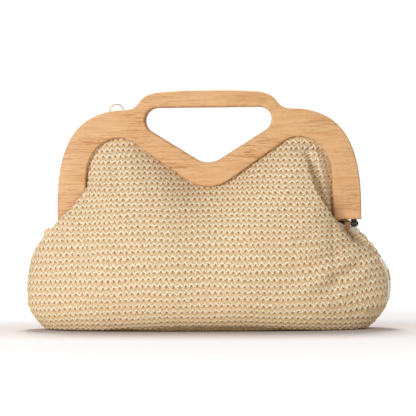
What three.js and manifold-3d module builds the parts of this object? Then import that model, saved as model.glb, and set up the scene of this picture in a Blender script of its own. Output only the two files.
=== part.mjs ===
// Clutch purse: two hinged wooden frame plates with a hand slot, carrying a lined pouch of
// woven straw cloth. Millimetres, +Z up, +Y towards the back, origin under the middle of the base.
import * as THREE from "three";
import { mergeVertices } from "three/addons/utils/BufferGeometryUtils.js";
import Module from "manifold-3d";

// ---- driving dimensions ----
const FIT = 0.3; // clearance between touching pieces

const frame = {
  halfWidth: 142, // outer edge of the legs
  legInner: 116.5, // inner edge of a leg at its foot
  footZ: 102.2, // bottom end of the legs
  shoulderZ: 206,
  handleTopZ: 223.8,
  thickness: 9.2,
  gap: 4.4, // between the two plates when shut
  roundOver: 1.8,
};
const slot = {
  // hand slot: the hull of three circles
  endX: 47.5,
  endZ: 196.3,
  endRadius: 12,
  tipZ: 156.5,
  tipRadius: 22.6,
};
const edge = {
  // lower edge of the plates: a V between two arches
  tipZ: 133.9,
  slope: THREE.MathUtils.degToRad(35),
  tipRadius: 34.9,
  archX: 84,
  archTopZ: 179.9,
  archSpringZ: 143.5,
  archInner: 115,
};
const rebate = { width: 9, depth: 4.2 };
const cloth = {
  thickness: 1.6,
  hemY: 5.3, // middle of the hem inside the rebate
  hemWidth: 6,
  clearance: 2.5, // the cloth lies flat this far below the wood's edge
  bulge: 46,
  bulgeLength: 33, // how fast the cloth swells out below the frame
  archLength: 48, // the same under the arches, where it hangs flatter
  lowZ: 2.4,
  legGap: 1.2,
  leftSwing: 1.2, // the left side stands out a little further
};
const lining = { thickness: 0.8, inset: 2.6 };
const base = { halfWidth: 151, halfDepth: 40.5, thickness: 1.6 };
const board = { thickness: 2.2, inset: 6 };
const strip = { thickness: 1.9, width: 8.0, start: 0.5 };
const hinge = {
  axisZ: 98.1,
  pinRadius: 1.5,
  barrelRadius: 3.2,
  innerKnuckle: [121, 126.3],
  tab: [126.7, 132.1],
  outerKnuckle: [132.5, 138],
  leafX: [120.6, 138.4],
  leafTopZ: 120,
  leafThickness: 1.2,
};
const screw = { headRadius: 2.3, headHeight: 1.3, shankRadius: 1.05 };
const magnet = { x: 84, z: 196.1, radius: 5, thickness: 4, proud: 1.8 };
const ring = { x: 88.3, axisZ: 199.7, radius: 6.5, wire: 0.45, lean: 6 };
const eye = { loopRadius: 2.35, wire: 0.65, shankLength: 4.5, standOff: 3.4 };

const innerY = frame.gap / 2;
const outerY = innerY + frame.thickness;

// ---- materials ----
const wood = () => new THREE.MeshStandardMaterial({ color: 0xe2b07c, roughness: 0.55 });
const straw = () => new THREE.MeshStandardMaterial({ color: 0xe3c69a, roughness: 0.9 });
const cotton = () => new THREE.MeshStandardMaterial({ color: 0xefe8da, roughness: 0.95 });
const fibreboard = () => new THREE.MeshStandardMaterial({ color: 0xb9a184, roughness: 0.9 });
const tape = () => new THREE.MeshStandardMaterial({ color: 0xf1ede2, roughness: 0.9 });
const ochre = () => new THREE.MeshStandardMaterial({ color: 0xe3a83a, roughness: 0.8 });
const leather = () => new THREE.MeshStandardMaterial({ color: 0xb88a5c, roughness: 0.7 });
const darkSteel = () =>
  new THREE.MeshStandardMaterial({ color: 0x3b3836, roughness: 0.35, metalness: 1 });
const steel = () =>
  new THREE.MeshStandardMaterial({ color: 0xb9babd, roughness: 0.3, metalness: 1 });
const gold = () =>
  new THREE.MeshStandardMaterial({ color: 0xd9b45f, roughness: 0.25, metalness: 1 });

// ---- solid helpers ----
const wasm = await Module();
wasm.setup();

function solid(geometry) {
  const bare = geometry.index ? geometry.toNonIndexed() : geometry.clone();
  for (const name of Object.keys(bare.attributes)) {
    if (name !== "position") bare.deleteAttribute(name);
  }
  const merged = mergeVertices(bare, 1e-4);
  return new wasm.Manifold(
    new wasm.Mesh({
      numProp: 3,
      vertProperties: merged.attributes.position.array,
      triVerts: new Uint32Array(merged.index.array),
    }),
  );
}

function geometryOf(manifold) {
  const mesh = manifold.getMesh();
  const geometry = new THREE.BufferGeometry();
  geometry.setAttribute("position", new THREE.BufferAttribute(mesh.vertProperties, 3));
  geometry.setIndex(new THREE.BufferAttribute(mesh.triVerts, 1));
  geometry.computeVertexNormals();
  return geometry;
}

const cut = (whole, ...tools) => tools.reduce((left, tool) => left.subtract(tool), whole);

const root = new THREE.Group();

function add(name, geometry, material) {
  const mesh = new THREE.Mesh(geometry, material);
  mesh.name = name;
  root.add(mesh);
  return mesh;
}

// A flat outline (x, z) given thickness between two depths y.
function slab(outline, yLow, yHigh, holes = [], roundOver = 0) {
  const shape = new THREE.Shape(outline);
  shape.holes = holes.map((points) => new THREE.Path(points));
  const geometry = new THREE.ExtrudeGeometry(shape, {
    depth: yHigh - yLow - 2 * roundOver,
    bevelEnabled: roundOver > 0,
    bevelThickness: roundOver,
    bevelSize: roundOver,
    bevelOffset: -roundOver,
    bevelSegments: 2,
  });
  return geometry.rotateX(Math.PI / 2).translate(0, yHigh - roundOver, 0);
}

// A round pin along +Y or +X.
function pin(radius, length, sides, centre, along = "y") {
  const geometry = new THREE.CylinderGeometry(radius, radius, length, sides);
  if (along === "x") geometry.rotateZ(Math.PI / 2);
  return geometry.translate(...centre);
}

// ---- frame plates ----
const mirror = (points) => points.map((p) => new THREE.Vector2(-p.x, p.y)).reverse();

// Lower edge from the V's tip to the foot of the right leg.
function lowerEdgeHalf() {
  const path = new THREE.Path();
  const tipX = edge.tipRadius * Math.sin(edge.slope);
  const tipRise = edge.tipRadius * (1 - Math.cos(edge.slope));
  // The arch's inner curve is the arc that meets both the V's straight side and the arch's top.
  const rise = edge.archTopZ - edge.tipZ - tipRise;
  const reach = edge.archX - tipX;
  const slope = Math.tan(edge.slope);
  const archRadius =
    (reach * slope - rise) / (Math.sin(edge.slope) * slope + Math.cos(edge.slope) - 1);
  const down = -Math.PI / 2;
  path.absarc(0, edge.tipZ + edge.tipRadius, edge.tipRadius, down, down + edge.slope, false);
  path.absarc(
    edge.archX,
    edge.archTopZ - archRadius,
    archRadius,
    Math.PI / 2 + edge.slope,
    Math.PI / 2,
    true,
  );
  path.absellipse(
    edge.archX,
    edge.archSpringZ,
    edge.archInner - edge.archX,
    edge.archTopZ - edge.archSpringZ,
    Math.PI / 2,
    0,
    true,
  );
  path.lineTo(frame.legInner, frame.footZ);
  return spread(path.getPoints(5));
}

// Drops repeated points that neighbouring curves share.
function spread(points, least = 0.05) {
  return points.filter((p, i) => i === 0 || p.distanceTo(points[i - 1]) > least);
}

// Outer edge from the foot of the right leg to the middle of the handle.
function outerEdgeHalf() {
  const w = frame.halfWidth;
  const s = frame.shoulderZ;
  const t = frame.handleTopZ;
  const path = new THREE.Path();
  path.moveTo(w, frame.footZ);
  path.lineTo(w, frame.footZ + 14);
  path.bezierCurveTo(w, s - 26, w - 22, s - 0.8, w - 64, s);
  path.bezierCurveTo(w - 70, s + 0.2, w - 73.5, s + 1.6, w - 77, s + 6);
  path.bezierCurveTo(w - 81, s + 12, w - 86, t - 2.6, w - 98, t - 1.4);
  path.bezierCurveTo(w - 112, t - 0.3, w - 126, t, 0, t);
  return spread(path.getPoints(6));
}

function slotOutline() {
  const tipZ = slot.tipZ + slot.tipRadius;
  const along = Math.atan2(slot.endZ - tipZ, slot.endX);
  const apart = Math.hypot(slot.endX, slot.endZ - tipZ);
  const tangent = along - Math.acos((slot.tipRadius - slot.endRadius) / apart);
  const path = new THREE.Path();
  path.absarc(slot.endX, slot.endZ, slot.endRadius, Math.PI / 2, tangent, true);
  path.absarc(0, tipZ, slot.tipRadius, tangent, Math.PI - tangent - 2 * Math.PI, true);
  path.absarc(-slot.endX, slot.endZ, slot.endRadius, -Math.PI - tangent, -1.5 * Math.PI, true);
  return spread(path.getPoints(6));
}

const edgeHalf = lowerEdgeHalf();
const lowerEdge = spread([...mirror(edgeHalf), ...edgeHalf]); // left foot to right foot
const outerHalf = outerEdgeHalf();
const plateOutline = spread([...lowerEdge, ...outerHalf, ...mirror(outerHalf)]);

// The lower edge moved into the wood by d (or into the open, for d under 0).
function offsetEdge(d, footDrop = 0) {
  const moved = lowerEdge.map((p, i) => {
    const before = lowerEdge[Math.max(i - 1, 0)];
    const after = lowerEdge[Math.min(i + 1, lowerEdge.length - 1)];
    const along = new THREE.Vector2().subVectors(after, before).normalize();
    return new THREE.Vector2(p.x - along.y * d, p.y + along.x * d);
  });
  for (const i of [0, moved.length - 1]) moved[i].y = frame.footZ - footDrop;
  return moved;
}

const band = (near, far, footDrop) => [
  ...offsetEdge(near, footDrop),
  ...offsetEdge(far, footDrop).reverse(),
];

// Screw places along the lower edge: share of its length from one foot to the other.
const edgeLength = lowerEdge.slice(1).reduce((sum, p, i) => sum + p.distanceTo(lowerEdge[i]), 0);
function alongEdge(share, d) {
  const shifted = offsetEdge(d);
  let left = share * edgeLength;
  for (let i = 1; i < lowerEdge.length; i++) {
    const step = lowerEdge[i].distanceTo(lowerEdge[i - 1]);
    if (left <= step) return shifted[i - 1].clone().lerp(shifted[i], left / step);
    left -= step;
  }
  return shifted.at(-1);
}
const stripScrewShares = [0.085, 0.215, 0.355, 0.5, 0.645, 0.785, 0.915];
const stripScrewPlaces = stripScrewShares.map((share) => alongEdge(share, rebate.width / 2));
const leafScrewPlaces = [6, 13].map((up) => new THREE.Vector2(132.2, frame.footZ + up));

// Countersunk screw with its head's flat side at depth y = 0 and its point towards +Y.
function screwGeometry(length) {
  const profile = [
    [0, 0],
    [screw.headRadius, 0],
    [screw.headRadius, 0.25],
    [screw.shankRadius, screw.headHeight],
    [screw.shankRadius, length - 1.2],
    [0, length],
  ].map(([r, y]) => new THREE.Vector2(r, y));
  const body = solid(new THREE.LatheGeometry(profile, 8));
  return geometryOf(cut(body, solid(new THREE.BoxGeometry(3.2, 1.2, 0.6))));
}

// Room for a screw: clearance hole, with the countersink at depth 0.
function screwRoom(length) {
  const profile = [
    [0, -1],
    [screw.headRadius + FIT, -1],
    [screw.headRadius + FIT, 0.25 + FIT],
    [screw.shankRadius + FIT, screw.headHeight + FIT],
    [screw.shankRadius + FIT, length + FIT],
    [0, length + FIT],
  ].map(([r, y]) => new THREE.Vector2(r, y));
  return new THREE.LatheGeometry(profile, 8);
}

const stripY = innerY + 0.1; // inner face of the retaining strip
const leafY = FIT; // inner face of a hinge leaf
const screwLengths = { strip: 7, leaf: 7 };

function placed(geometry, place, depth, side) {
  const made = geometry.clone();
  if (side < 0) made.rotateZ(Math.PI);
  return made.translate(place.x, side * depth, place.y);
}

function screwRooms(side) {
  const rooms = stripScrewPlaces.map((place) =>
    solid(placed(screwRoom(screwLengths.strip), place, stripY, side)),
  );
  for (const x of [-1, 1]) {
    for (const place of leafScrewPlaces) {
      const at = new THREE.Vector2(x * place.x, place.y);
      rooms.push(solid(placed(screwRoom(screwLengths.leaf), at, leafY, side)));
    }
  }
  return rooms;
}

function slabOnSide(side, near, far, outline, holes = [], roundOver = 0) {
  const low = side > 0 ? near : -far;
  return slab(outline, low, low + far - near, holes, roundOver);
}

function magnetRoom(side, x) {
  const length = magnet.thickness - magnet.proud + FIT;
  return solid(
    pin(magnet.radius + FIT, length + 2, 20, [x, side * (innerY + length / 2 - 1), magnet.z]),
  );
}

const eyePlaces = [-ring.x, ring.x];

function framePlate(side) {
  const plate = solid(
    slabOnSide(side, innerY, outerY, plateOutline, [slotOutline()], frame.roundOver),
  );
  const groove = solid(
    slabOnSide(side, innerY - 1, innerY + rebate.depth, band(-3, rebate.width, 2)),
  );
  const rooms = [groove, ...screwRooms(side), magnetRoom(side, -magnet.x), magnetRoom(side, magnet.x)];
  if (side > 0) {
    for (const x of eyePlaces) {
      rooms.push(
        solid(pin(eye.wire + FIT, 2 * eye.shankLength, 10, [x, outerY, ring.axisZ])),
      );
    }
  }
  return geometryOf(cut(plate, ...rooms));
}

function retainingStrip(side) {
  const outline = band(strip.start, strip.start + strip.width, -1);
  const flat = solid(slabOnSide(side, stripY, stripY + strip.thickness, outline));
  return geometryOf(cut(flat, ...screwRooms(side)));
}

// ---- pouch cloth ----
const smooth = (a, b, x) => THREE.MathUtils.smoothstep(x, a, b);

// Height of the plates' lower edge above x.
function edgeHeight(x) {
  const distance = Math.abs(x);
  if (distance >= edge.archInner) return edge.archSpringZ;
  if (distance > edge.archX) {
    const share = (distance - edge.archX) / (edge.archInner - edge.archX);
    return edge.archSpringZ + (edge.archTopZ - edge.archSpringZ) * Math.sqrt(1 - share * share);
  }
  const i = edgeHalf.findIndex((p) => p.x >= distance);
  if (i <= 0) return edge.tipZ;
  const [a, b] = [edgeHalf[i - 1], edgeHalf[i]];
  return a.y + ((distance - a.x) / (b.x - a.x)) * (b.y - a.y);
}

// The side seam, from the base up to the hinge.
const seam = new THREE.CatmullRomCurve3(
  [
    [150, 1.5],
    [160.5, 9],
    [167.5, 20],
    [170, 36],
    [168.3, 52],
    [163.5, 66],
    [156.5, 77.5],
    [148.5, 86],
    [139, 91.1],
  ].map(([x, z]) => new THREE.Vector3(x, 0, z)),
);
const seamPoints = seam.getPoints(60);
function seamX(z) {
  const i = THREE.MathUtils.clamp(
    seamPoints.findIndex((p) => p.z >= z),
    1,
    seamPoints.length - 1,
  );
  const [a, b] = [seamPoints[i - 1], seamPoints[i]];
  return a.x + ((z - a.z) / (b.z - a.z)) * (b.x - a.x);
}

// How the pouch's depth falls off from its middle (0) to the seam or the leg (1).
const roundness = (share) => (1 - Math.min(Math.abs(share), 1) ** 2.6) ** 0.55;

// Depth of the cloth's middle surface, measured from the mid plane: share is 0 in the middle of
// the pouch and 1 at the seam or the leg, below is the drop from the frame's edge.
function clothDepth(share, z, below, end) {
  const inArch = smooth(edge.tipRadius, edge.archX, Math.abs(share) * frame.legInner);
  const length = THREE.MathUtils.lerp(cloth.bulgeLength, cloth.archLength, inArch);
  const swell = cloth.bulge * (1 - Math.exp(-Math.max(below, 0) / length));
  const tuck = 1 - 0.21 * (1 - smooth(0, 38, z)) ** 2; // the cloth turns in towards the base
  const round = roundness(share);
  return end * (1 - round) + (cloth.hemY + swell) * tuck * round;
}

const columnShares = (half) =>
  Array.from({ length: 2 * half + 1 }, (_, j) => Math.sin(((j - half) / half) * (Math.PI / 2)));

const spaced = (low, high, count) =>
  Array.from({ length: count }, (_, i) => low + ((high - low) * i) / (count - 1));

// Half width of the pouch and depth of its edge, on each level below the frame.
const lowerLevels = [...spaced(cloth.lowZ, 24, 4), ...spaced(37, 91, 5)].map((z) => ({
  z,
  width: seamX(z) - 0.8,
  end: 1.2,
}));
lowerLevels.push({ z: frame.footZ - 8.8, width: frame.legInner + 0.8, end: 2.4 });
lowerLevels.push({ z: frame.footZ - 1.6, width: frame.legInner, end: 4 });

const windowShares = [0.02, 0.25, 0.48, 0.7, 0.88, 1];

// Middle surface of one panel as rows of points, from the base up to the frame's edge.
function clothGrid(side, half) {
  const shares = columnShares(half);
  const rows = lowerLevels.map(({ z, width, end }) =>
    shares.map((share) => {
      const below = edgeHeight(share * frame.legInner) - cloth.clearance - z;
      const swing = share < 0 ? cloth.leftSwing * share * (1 - smooth(60, 92, z)) : 0;
      const depth = clothDepth(share, z, below, end);
      return new THREE.Vector3(share * width + swing, side * depth, z);
    }),
  );
  const reach = frame.legInner - cloth.legGap;
  for (const up of windowShares) {
    rows.push(
      shares.map((share) => {
        const x = share * reach;
        const top = edgeHeight(x) - cloth.clearance;
        const z = frame.footZ + 0.8 + up * (top - frame.footZ - 0.8);
        const narrowed = share * (reach - 1.6 * smooth(frame.footZ, edge.archSpringZ, z));
        const depth = clothDepth(share, z, top - z, cloth.hemY);
        return new THREE.Vector3(narrowed, side * depth, z);
      }),
    );
  }
  return rows;
}

// The hem: one more point beyond the top and both legs, flat inside the rebate.
function withHem(rows, side) {
  const foot = lowerLevels.length;
  const wide = rows.map((row, i) => {
    const reach = i < foot ? 0.4 : cloth.hemWidth + cloth.legGap;
    const drop = i === rows.length - 1 ? 2.5 : 0;
    const outer = (p, x) => new THREE.Vector3(p.x + x * reach, p.y, p.z - drop);
    return [outer(row[0], -1), ...row, outer(row.at(-1), 1)];
  });
  const top = wide.at(-1);
  const hem = top.map((p, j) => {
    const before = top[Math.max(j - 1, 1)];
    const after = top[Math.min(j + 1, top.length - 2)];
    const out = new THREE.Vector3(before.z - after.z, 0, after.x - before.x).normalize();
    if (j < 2) out.set(-1, 0, 0.3 * j);
    if (j > top.length - 3) out.set(1, 0, 0.3 * (top.length - 1 - j));
    const from = j === 0 ? top[1] : j === top.length - 1 ? top.at(-2) : p;
    const moved = from.clone().addScaledVector(out, cloth.hemWidth + cloth.clearance);
    return moved.setY(side * cloth.hemY);
  });
  return [...wide, hem];
}

// Unit normals of a grid of points, on the side that faces outwards.
function gridNormals(rows, side) {
  const [n, m] = [rows.length, rows[0].length];
  const at = (i, j) => rows[THREE.MathUtils.clamp(i, 0, n - 1)][THREE.MathUtils.clamp(j, 0, m - 1)];
  return rows.map((row, i) =>
    row.map((_, j) => {
      const up = new THREE.Vector3().subVectors(at(i + 1, j), at(i - 1, j));
      const across = new THREE.Vector3().subVectors(at(i, j + 1), at(i, j - 1));
      return across.cross(up).normalize().multiplyScalar(-side);
    }),
  );
}

// A sheet of even thickness whose middle surface passes through rows of points.
function sheet(rows, thickness, side) {
  const [n, m] = [rows.length, rows[0].length];
  const normals = gridNormals(rows, side);
  const positions = [];
  for (const half of [0.5, -0.5]) {
    rows.forEach((row, i) =>
      row.forEach((p, j) => {
        const moved = p.clone().addScaledVector(normals[i][j], half * thickness);
        positions.push(...moved.toArray());
      }),
    );
  }
  const index = [];
  const quad = (a, b, c, d) => index.push(a, b, c, a, c, d);
  const outer = (i, j) => i * m + j;
  const inner = (i, j) => n * m + i * m + j;
  for (let i = 0; i + 1 < n; i++) {
    for (let j = 0; j + 1 < m; j++) {
      quad(outer(i, j), outer(i, j + 1), outer(i + 1, j + 1), outer(i + 1, j));
      quad(inner(i, j), inner(i + 1, j), inner(i + 1, j + 1), inner(i, j + 1));
    }
    quad(outer(i, 0), outer(i + 1, 0), inner(i + 1, 0), inner(i, 0));
    quad(outer(i + 1, m - 1), outer(i, m - 1), inner(i, m - 1), inner(i + 1, m - 1));
  }
  for (let j = 0; j + 1 < m; j++) {
    quad(outer(0, j + 1), outer(0, j), inner(0, j), inner(0, j + 1));
    quad(outer(n - 1, j), outer(n - 1, j + 1), inner(n - 1, j + 1), inner(n - 1, j));
  }
  if (side > 0) index.reverse();
  const geometry = new THREE.BufferGeometry();
  geometry.setAttribute("position", new THREE.Float32BufferAttribute(positions, 3));
  geometry.setIndex(index);
  return geometry;
}

function clothPanel(side) {
  const rows = withHem(clothGrid(side, 10), side);
  const made = solid(sheet(rows, cloth.thickness, side));
  return geometryOf(cut(made, ...screwRooms(side)));
}

// The lining follows the panel on the inside, short of the hem.
function clothLining(side) {
  const rows = clothGrid(side, 10).slice(1);
  const normals = gridNormals(rows, side);
  const moved = rows.map((row, i) =>
    row.map((p, j) => {
      const inner = p.clone().addScaledVector(normals[i][j], -lining.inset);
      return inner.setY(side * Math.max(side * inner.y, 0.9));
    }),
  );
  return sheet(moved, lining.thickness, side);
}

// Flat oval of the base, with the same outline as the pouch's lower edge.
function oval(inset, zLow, thickness) {
  const half = columnShares(12).map(
    (share) =>
      new THREE.Vector2(
        share * (base.halfWidth - inset),
        roundness(share) * (base.halfDepth - inset),
      ),
  );
  const other = half.slice(1, -1).map((p) => new THREE.Vector2(p.x, -p.y));
  const shape = new THREE.Shape([...half.reverse(), ...other]);
  const geometry = new THREE.ExtrudeGeometry(shape, { depth: thickness, bevelEnabled: false });
  return geometry.translate(0, 0, zLow);
}

// A strip of tape lying over the right side seam between two heights.
function seamPatch(low, high, halfDepth, lift, thickness) {
  const rows = spaced(low, high, 6).map((z) => {
    const x = seamX(z) + cloth.thickness / 2 + lift;
    return [-1, -0.5, 0, 0.5, 1].map(
      (y) => new THREE.Vector3(x - 0.35 * y * y, -y * halfDepth, z),
    );
  });
  return sheet(rows, thickness, 1);
}

// ---- hinges ----
// A leaf screwed to a plate, curled into one knuckle round the pin.
function hingeLeaf(side, x, [from, to]) {
  const near = leafY;
  const far = leafY + hinge.leafThickness;
  const [left, right] = hinge.leafX;
  const low = frame.footZ + 0.2;
  const outline = [
    [left, low],
    [right, low],
    [right, hinge.leafTopZ - 3],
    [right - 3, hinge.leafTopZ],
    [left + 3, hinge.leafTopZ],
    [left, hinge.leafTopZ - 3],
  ].map(([px, pz]) => new THREE.Vector2(px, pz));
  const plate = solid(slabOnSide(side, near, far, outline));
  const neck = solid(
    slabOnSide(side, near, far, [
      new THREE.Vector2(from, hinge.axisZ),
      new THREE.Vector2(to, hinge.axisZ),
      new THREE.Vector2(to, low + 1),
      new THREE.Vector2(from, low + 1),
    ]),
  );
  const middle = [(from + to) / 2, 0, hinge.axisZ];
  const barrel = solid(pin(hinge.barrelRadius, to - from, 20, middle, "x"));
  const bore = solid(pin(hinge.pinRadius + FIT, 2 * (to - from), 20, middle, "x"));
  const rooms = leafScrewPlaces.map((place) =>
    solid(placed(screwRoom(screwLengths.leaf), place, leafY, side)),
  );
  const leaf = cut(plate.add(neck).add(barrel), bore, ...rooms);
  const geometry = geometryOf(leaf);
  return x < 0 ? mirrored(geometry) : geometry;
}

// The same solid on the other side of the mid plane x = 0.
const mirrored = (geometry) => geometryOf(solid(geometry).mirror([1, 0, 0]));

// Pin with a domed head at each end.
function hingePin() {
  const [from, to] = [hinge.innerKnuckle[0] - FIT, hinge.outerKnuckle[1] + FIT];
  const head = 2.5;
  const dome = 1.2;
  const profile = [
    [0, from - dome],
    [head * 0.7, from - dome * 0.75],
    [head, from - 0.1],
    [head, from],
    [hinge.pinRadius, from],
    [hinge.pinRadius, to],
    [head, to],
    [head, to + 0.1],
    [head * 0.7, to + dome * 0.75],
    [0, to + dome],
  ].map(([r, along]) => new THREE.Vector2(r, along));
  return new THREE.LatheGeometry(profile, 16)
    .rotateZ(-Math.PI / 2)
    .translate(0, 0, hinge.axisZ);
}

// Leather strap looped round the pin, with both ends running down to the side seam.
function hingeTab() {
  const [from, to] = hinge.tab;
  const inner = hinge.pinRadius + FIT;
  const outer = inner + 1.1;
  const shape = new THREE.Shape();
  shape.absarc(0, 0, outer, -Math.PI * 0.28, Math.PI * 1.28, false);
  shape.lineTo(-1.15, -5.2);
  shape.lineTo(1.15, -5.2);
  const hole = new THREE.Path().absarc(0, 0, inner, 0, 2 * Math.PI, true);
  shape.holes = [hole];
  const geometry = new THREE.ExtrudeGeometry(shape, {
    depth: to - from,
    bevelEnabled: false,
    curveSegments: 14,
  });
  return geometry
    .rotateY(Math.PI / 2)
    .rotateX(Math.PI / 2)
    .translate(from, 0, hinge.axisZ);
}

// ---- strap rings ----
const eyeY = outerY + eye.standOff;

// A ring that either leans on the plate, upright, or hangs from its eye.
function strapRing(x, hanging) {
  const geometry = new THREE.TorusGeometry(ring.radius, ring.wire, 6, 20);
  geometry.translate(0, hanging ? -ring.radius : ring.radius, 0).rotateX(Math.PI / 2);
  if (!hanging) geometry.rotateX(THREE.MathUtils.degToRad(ring.lean));
  return geometry.translate(x, eyeY, ring.axisZ);
}

function screwEye(x) {
  const loop = solid(
    new THREE.TorusGeometry(eye.loopRadius, eye.wire, 6, 12)
      .rotateY(Math.PI / 2)
      .translate(x, eyeY, ring.axisZ),
  );
  const reach = eye.standOff - eye.loopRadius + eye.shankLength;
  const middle = eyeY - eye.loopRadius - reach / 2 + 0.3;
  const shank = solid(pin(eye.wire, reach, 10, [x, middle, ring.axisZ]));
  return geometryOf(loop.add(shank));
}

// ---- assembly ----
const sides = { front: -1, back: 1 };
const hands = { left: -1, right: 1 };

for (const [name, side] of Object.entries(sides)) {
  add(`${name}_frame`, framePlate(side), wood());
  add(`${name}_retaining_strip`, retainingStrip(side), wood());
  stripScrewPlaces.forEach((place, i) => {
    const geometry = placed(screwGeometry(screwLengths.strip), place, stripY, side);
    add(`${name}_strip_screw_${i + 1}`, geometry, steel());
  });
  add(`${name}_panel`, clothPanel(side), straw());
  add(`${name}_lining`, clothLining(side), cotton());
  for (const [hand, x] of Object.entries(hands)) {
    add(
      `${name}_hinge_leaf_${hand}`,
      hingeLeaf(side, x, side < 0 ? hinge.outerKnuckle : hinge.innerKnuckle),
      darkSteel(),
    );
    leafScrewPlaces.forEach((place, i) => {
      const at = new THREE.Vector2(x * place.x, place.y);
      const geometry = placed(screwGeometry(screwLengths.leaf), at, leafY, side);
      add(`${name}_hinge_screw_${hand}_${i + 1}`, geometry, steel());
    });
    add(
      `${name}_magnet_${hand}`,
      pin(magnet.radius, magnet.thickness, 24, [
        x * magnet.x,
        side * (innerY - magnet.proud + magnet.thickness / 2),
        magnet.z,
      ]),
      steel(),
    );
  }
}

for (const [hand, x] of Object.entries(hands)) {
  const turn = (geometry) => (x < 0 ? mirrored(geometry) : geometry);
  add(`hinge_pin_${hand}`, turn(hingePin()), darkSteel());
  add(`hinge_tab_${hand}`, turn(hingeTab()), leather());
  add(`strap_eye_${hand}`, screwEye(x * ring.x), gold());
  add(`strap_ring_${hand}`, strapRing(x * ring.x, x > 0), gold());
}

add("base_panel", oval(0, 0, base.thickness), straw());
add("base_board", oval(board.inset, base.thickness + FIT, board.thickness), fibreboard());
add(
  "base_lining",
  oval(board.inset, base.thickness + board.thickness + 2 * FIT, lining.thickness),
  cotton(),
);
add("side_label", seamPatch(29, 70, 9, 1.1, 0.7), tape());
add("side_label_bar", seamPatch(45, 55.5, 7, 2.0, 0.5), ochre());

export default root;
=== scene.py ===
"""Clutch purse: wooden frame plates on two hinges and a lined pouch of woven straw cloth.
Lengths are in millimetres until a mesh is made, and in metres from then on.
X runs along the length towards the right hinge, Y towards the back plate, and Z up."""

import math

import bmesh
import bpy
import numpy as np
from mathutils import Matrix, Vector


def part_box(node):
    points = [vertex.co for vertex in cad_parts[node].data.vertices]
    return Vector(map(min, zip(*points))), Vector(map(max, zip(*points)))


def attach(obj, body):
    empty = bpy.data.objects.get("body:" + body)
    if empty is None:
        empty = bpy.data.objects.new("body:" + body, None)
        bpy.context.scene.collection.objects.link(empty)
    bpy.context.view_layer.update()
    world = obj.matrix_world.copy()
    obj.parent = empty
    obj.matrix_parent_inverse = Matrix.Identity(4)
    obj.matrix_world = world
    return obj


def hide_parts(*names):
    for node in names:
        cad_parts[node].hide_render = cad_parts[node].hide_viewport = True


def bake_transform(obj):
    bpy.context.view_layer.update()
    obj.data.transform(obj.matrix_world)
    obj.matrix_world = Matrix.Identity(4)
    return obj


MM = 0.001
ALL_SMOOTH = 180  # crease angle in degrees that leaves no sharp edge

# ---- frame plates, as in the CAD ----
INNER_Y, OUTER_Y = 2.2, 11.4
ROUND_OVER = 1.8
HALF_WIDTH, FOOT_Z, SHOULDER_Z, HANDLE_TOP_Z = 142.0, 102.2, 206.0, 223.8
LEG_INNER = 116.5
SLOT_END, SLOT_END_RADIUS = (47.5, 196.3), 12.0
SLOT_TIP_Z, SLOT_TIP_RADIUS = 156.5, 22.6
V_TIP_Z, V_SLOPE, V_RADIUS = 133.9, math.radians(35), 34.9
ARCH_X, ARCH_TOP_Z, ARCH_SPRING_Z, ARCH_INNER = 84.0, 179.9, 143.5, 115.0
REBATE_WIDTH, REBATE_DEPTH = 9.0, 4.2
HINGE_Z = 98.1
STRAP_LOW_Z = 84.0
RING_RADIUS, RING_WIRE = 6.5, 0.45

# ---- cloth ----
HEM_Y, HEM_WIDTH, EDGE_CLEARANCE = 5.3, 6.2, 0.9
BULGE, BULGE_LENGTH, ARCH_LENGTH = 46.0, 33.0, 48.0
ROW_PITCH, ZIGZAG_PERIOD, ZIGZAG_HEIGHT, CORD_HALF = 6.7, 5.5, 3.4, 1.2
PIT_ROW, PIT_WIDTH = 0.15, 0.14  # shares of a row
RELIEF = 0.85
LOW_Z, HIGH_Z = 0.9, 186.0
BASE_HALF_DEPTH = 35.4
ROLL_HEIGHT, ROLL_DEPTH = 13.0, 9.0
FACE_SHARE = 0.8  # of the columns between the middle and the seam or hem
LINING_INSET = 2.6
PANEL_COLUMNS, PANEL_STEP = 214, 0.95  # columns on each side of the middle, mm between rows
LINING_COLUMNS, LINING_ROWS = 50, 70

# ---- camera and light ----
CAMERA_TARGET = (-0.0004, -0.0114, 0.1137)
CAMERA_AZIMUTH, CAMERA_ROLL, CAMERA_RISE = 4.0, -0.48, 0.4  # degrees
CAMERA_DISTANCE, VIEW_WIDTH = 1.7, 0.388
AMBIENT = 0.3


# ---- materials ----
def new_material(name, roughness=0.6, metallic=0.0, specular=0.4):
    material = bpy.data.materials.new(name)
    material.use_nodes = True
    shader = material.node_tree.nodes["Principled BSDF"]
    shader.inputs["Roughness"].default_value = roughness
    shader.inputs["Metallic"].default_value = metallic
    shader.inputs["Specular IOR Level"].default_value = specular
    return material, shader


def add_node(material, kind, **settings):
    node = material.node_tree.nodes.new(kind)
    for key, value in settings.items():
        setattr(node, key, value)
    return node


def link(material, output, socket):
    material.node_tree.links.new(output, socket)


def math_node(material, operation, a, b=None, c=None, clamp=False):
    node = add_node(material, "ShaderNodeMath", operation=operation, use_clamp=clamp)
    for index, value in enumerate((a, b, c)):
        if value is None:
            continue
        if isinstance(value, (int, float)):
            node.inputs[index].default_value = value
        else:
            link(material, value, node.inputs[index])
    return node.outputs[0]


def product(material, *factors):
    total = factors[0]
    for factor in factors[1:]:
        total = math_node(material, "MULTIPLY", total, factor)
    return total


def ramp_node(material, value, stops):
    node = add_node(material, "ShaderNodeValToRGB")
    elements = node.color_ramp.elements
    while len(elements) < len(stops):
        elements.new(0.5)
    for element, (place, colour) in zip(elements, stops):
        element.position = place
        element.color = (*colour, 1)
    link(material, value, node.inputs["Fac"])
    return node.outputs["Color"]


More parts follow.
